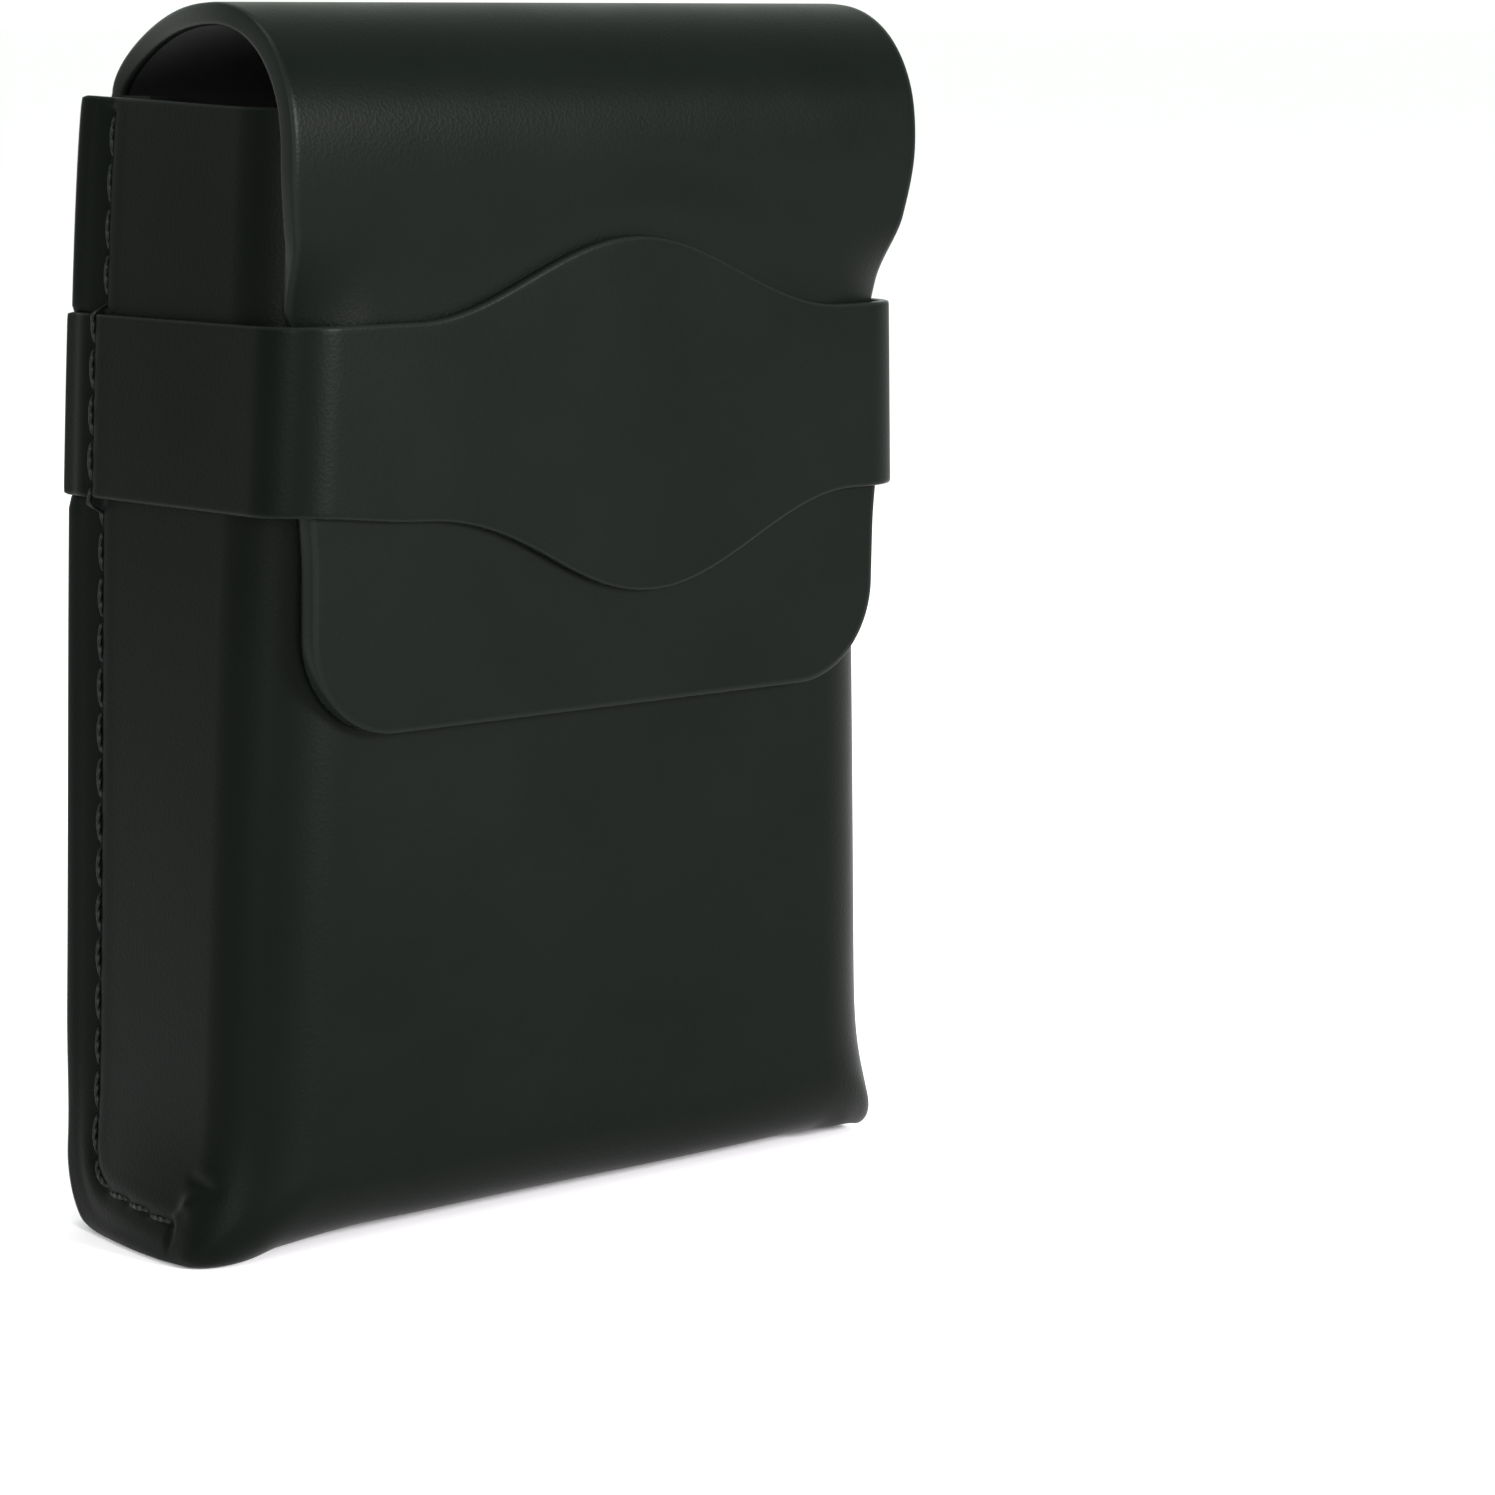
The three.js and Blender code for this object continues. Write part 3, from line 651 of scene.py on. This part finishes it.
def leatherFinish(name, sewn):
    own = Finish(name)
    hide = own.put("ShaderNodeUVMap", {"uv_map": "hide"})
    size = 1 / hideLook["grain"]
    pebble = own.put("ShaderNodeTexVoronoi", {"voronoi_dimensions": "2D", "feature": "SMOOTH_F1"},
                     {"Vector": hide, "Scale": size, "Smoothness": 0.8})
    fine = own.put("ShaderNodeTexNoise", {"noise_dimensions": "2D"},
                   {"Vector": hide, "Scale": size * 1.7, "Detail": 3.0})
    cloud = own.put("ShaderNodeTexNoise", {"noise_dimensions": "2D"},
                    {"Vector": hide, "Scale": 1 / hideLook["cloud"], "Detail": 4.0,
                     "Roughness": 0.6})
    patch = own.put("ShaderNodeTexNoise", {"noise_dimensions": "2D"},
                    {"Vector": hide, "Scale": 0.22 / hideLook["cloud"], "Detail": 2.0})
    edge = own.put("ShaderNodeAttribute", {"attribute_name": "cutEdge"}, out=2)
    grain = (pebble * 0.7 + fine * 0.5) * (1 - edge * 0.85)
    light = own.put("ShaderNodeValToRGB", {"stops": ((0.30, 0.0), (0.72, 1.0))}, {"Fac": cloud})
    shade = (light * 0.55 + patch * 0.45) * 0.4 + 0.2
    colour = blendColours(own, shade, hideLook["colour"], hideLook["light"])
    colour = blendColours(own, edge, colour, hideLook["edgeColour"])
    rough = hideLook["rough"] + (cloud - 0.5) * 0.16 + (fine - 0.5) * 0.10 - edge * 0.10
    if sewn:
        line = own.put("ShaderNodeUVMap", {"uv_map": "seam"})
        parts = own.put("ShaderNodeSeparateXYZ", {}, {"Vector": line})
        across = own.put("ShaderNodeSeparateXYZ", {}, {"Vector": line}, out=1)
        wave = own.put("ShaderNodeMath", {"operation": "PINGPONG"}, {0: parts, 1: pitch / 2})
        spot = (wave * wave + across * across) ** 0.5
        # Painted shade: each stitch hole is darkened fully, and the groove along the stitch line by
        # half, with the seam's dark colour, in place of the shade in these recesses
        hole = own.put("ShaderNodeMapRange", {"interpolation_type": "SMOOTHSTEP"},
                       {"Value": spot, "From Min": 0.55, "From Max": 0.25})
        grooveShade = own.put("ShaderNodeMapRange", {"interpolation_type": "SMOOTHSTEP"},
                       {"Value": across * across, "From Min": 0.5, "From Max": 0.02})
        colour = blendColours(own, grooveShade * 0.5, colour, hideLook["seamShadeColour"])
        colour = blendColours(own, hole, colour, hideLook["seamShadeColour"])
    bump = own.put("ShaderNodeBump", {}, {"Height": grain, "Strength": 0.35, "Distance": 0.00006})
    return own.finish(**{"Base Color": colour, "Roughness": rough, "Normal": bump,
                         "Specular IOR Level": 0.04})


def liningFinish():
    own = Finish("flesh side")
    hide = own.put("ShaderNodeUVMap", {"uv_map": "hide"})
    nap = own.put("ShaderNodeTexNoise", {"noise_dimensions": "2D"},
                  {"Vector": hide, "Scale": 3200.0, "Detail": 4.0, "Roughness": 0.7})
    cloud = own.put("ShaderNodeTexNoise", {"noise_dimensions": "2D"},
                    {"Vector": hide, "Scale": 90.0, "Detail": 3.0})
    colour = blendColours(own, nap * 0.6 + cloud * 0.4,
                          (0.0025, 0.003, 0.0025, 1), (0.008, 0.009, 0.008, 1))
    bump = own.put("ShaderNodeBump", {}, {"Height": nap, "Strength": 0.6, "Distance": 0.00012})
    return own.finish(**{"Base Color": colour, "Roughness": 0.82 + (cloud - 0.5) * 0.12,
                         "Normal": bump, "Specular IOR Level": 0.1,
                         "Sheen Weight": 0.03, "Sheen Roughness": 0.5})


def weltFinish():
    own = Finish("welt leather")
    where = own.put("ShaderNodeTexCoord", {}, out=3)
    nap = own.put("ShaderNodeTexNoise", {}, {"Vector": where, "Scale": 1800.0, "Detail": 4.0})
    colour = blendColours(own, nap, (0.004, 0.005, 0.004, 1), (0.010, 0.011, 0.010, 1))
    bump = own.put("ShaderNodeBump", {}, {"Height": nap, "Strength": 0.5, "Distance": 0.0001})
    return own.finish(**{"Base Color": colour, "Roughness": 0.7 + (nap - 0.5) * 0.2, "Normal": bump,
                         "Specular IOR Level": 0.1})


def threadFinish():
    own = Finish("waxed thread")
    way = own.put("ShaderNodeUVMap", {"uv_map": "twist"})
    along = own.put("ShaderNodeSeparateXYZ", {}, {"Vector": way})
    around = own.put("ShaderNodeSeparateXYZ", {}, {"Vector": way}, out=1)
    turning = along * 5.2 + around * (4 * np.pi)
    strand = own.put("ShaderNodeMath", {"operation": "SINE"}, {0: turning})
    fibre = own.put("ShaderNodeTexNoise", {"noise_dimensions": "2D"},
                    {"Vector": way, "Scale": 14.0})
    colour = blendColours(own, strand * 0.35 + fibre * 0.5,
                          (0.0015, 0.002, 0.0015, 1), (0.009, 0.011, 0.009, 1))
    bump = own.put("ShaderNodeBump", {}, {"Height": strand, "Strength": 0.7, "Distance": 0.00008})
    return own.finish(**{"Base Color": colour, "Roughness": 0.42 + (fibre - 0.5) * 0.2,
                         "Normal": bump, "Specular IOR Level": 0.15})


shellLeather = leatherFinish("case leather", sewn=True)
flapLeather = leatherFinish("flap leather", sewn=False)
strapLeather = leatherFinish("band leather", sewn=True)
lining = liningFinish()
thread = threadFinish()
welt = weltFinish()


def dress(piece, finishes, slot, *nodes):
    for finish in finishes:
        piece.data.materials.append(finish)
    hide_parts(*nodes)


shell = cutLeather("moulded_shell", shellPattern(), shellForm, case, shellRelief, seamFrame)
dress(shell, [shellLeather, lining], "case_leather", "front_shell")
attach(shell, "case")
print("case shell made")

splitRun = flapMarks["root"] + 15.0      # where the two pieces of the one sheet meet
backPiece = cutLeather(
    "back_and_arch",
    flapPattern(0, splitRun, [0, 20, 36, 140, 165, 172], [1.3, 0.8, 1.3, 0.8, 0.5],
                startEdge=flap["edge"]),
    flapForm, flap, butt="last")
dress(backPiece, [flapLeather, lining], "case_leather", "back_panel", "bottom_panel", "flap_roof")
flapEnd = foreRun + foreZ - height + flap["reach"]
tonguePiece = cutLeather(
    "flap_tongue",
    flapPattern(splitRun, flapEnd, [0, 6, 90, 101, 103, 103.5], [0.5, 0.9, 0.5, 0.2, 0.05],
                endEdge=flap["edge"]),
    flapForm, flap, butt="first")
dress(tonguePiece, [flapLeather, lining], "case_leather", "flap_front")
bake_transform(backPiece)
foreY * mm
(foreZ + 9) * mm
foreY * mm
(foreZ - 9) * mm
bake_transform(tonguePiece)
print("back and flap made")

bandPiece = cutLeather("waved_band", strapPattern(), strapForm, strap,
                       lambda c, b: seamRelief(strapToShell(c), b),
                       lambda c, b: seamFrame(strapToShell(c), b))
dress(bandPiece, [strapLeather, lining], "band_leather", "band")
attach(bandPiece, "case")
print("band made")

for word, side in (("left", -1), ("right", 1)):
    sewing = stitches(word + "_stitches", side)
    dress(sewing, [thread], "seam_thread", word + "_seam_thread")
    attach(sewing, "case")
    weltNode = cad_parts[word + "_seam_welt"]
    weltNode.data.materials.clear()
    weltNode.data.materials.append(welt)
print("stitches and welts made")


# A bright even room, a key light that the front mirrors softly, and a weak fill on the side
studio = {
    "floorHalf": 80.0,
    "floorColour": (0.95, 0.92, 0.95, 1),
    "world": 1.1,
    "lights": {              # name: place, size, power
        "key": ((0.25, -1.0, 0.35), 0.3, 28.0),
        "overhead": ((0.0, -0.05, 1.15), 0.6, 5.0),
        "fill": ((-0.8, -0.55, 0.3), 0.4, 5.0),
    },
}
eye = {"place": (-0.3211, -0.4043, 0.1315), "yaw": 41.42, "pitch": 8.91, "lens": 111.7}


def makeFloor():
    reach = studio["floorHalf"]
    mesh = bpy.data.meshes.new("floor")
    corner = [(-reach, -reach, 0), (reach, -reach, 0), (reach, reach, 0), (-reach, reach, 0)]
    mesh.from_pydata(corner, [], [(0, 1, 2, 3)])
    own = Finish("floor paint")
    own.finish(**{"Base Color": studio["floorColour"], "Roughness": 0.8})
    mesh.materials.append(own.material)
    floor = bpy.data.objects.new("floor", mesh)
    bpy.context.scene.collection.objects.link(floor)


def makeLights():
    aim = np.array([0, 0, height / 2 * mm])
    for name, (place, size, power) in studio["lights"].items():
        light = bpy.data.lights.new(name, "AREA")
        light.shape, light.size, light.energy = "DISK", size, power
        lamp = bpy.data.objects.new(name, light)
        bpy.context.scene.collection.objects.link(lamp)
        lamp.location = place
        toward = Vector((aim - np.array(place)).tolist())
        lamp.rotation_euler = toward.to_track_quat("-Z", "Y").to_euler()
    world = bpy.data.worlds.new("studio")
    world.use_nodes = True
    world.node_tree.nodes["Background"].inputs["Color"].default_value = (0.94, 1, 0.94, 1)
    world.node_tree.nodes["Background"].inputs["Strength"].default_value = studio["world"]
    bpy.context.scene.world = world
    bpy.context.scene.view_settings.view_transform = "Standard"


def makeCamera():
    data = bpy.data.cameras.new("camera")
    data.sensor_width, data.lens = 36, eye["lens"]
    data.clip_start = 0.02
    camera = bpy.data.objects.new("camera", data)
    bpy.context.scene.collection.objects.link(camera)
    camera.location = eye["place"]
    camera.rotation_euler = np.radians([90 - eye["pitch"], 0, -eye["yaw"]])
    bpy.context.scene.camera = camera


makeFloor()
makeLights()
makeCamera()
print("studio made")
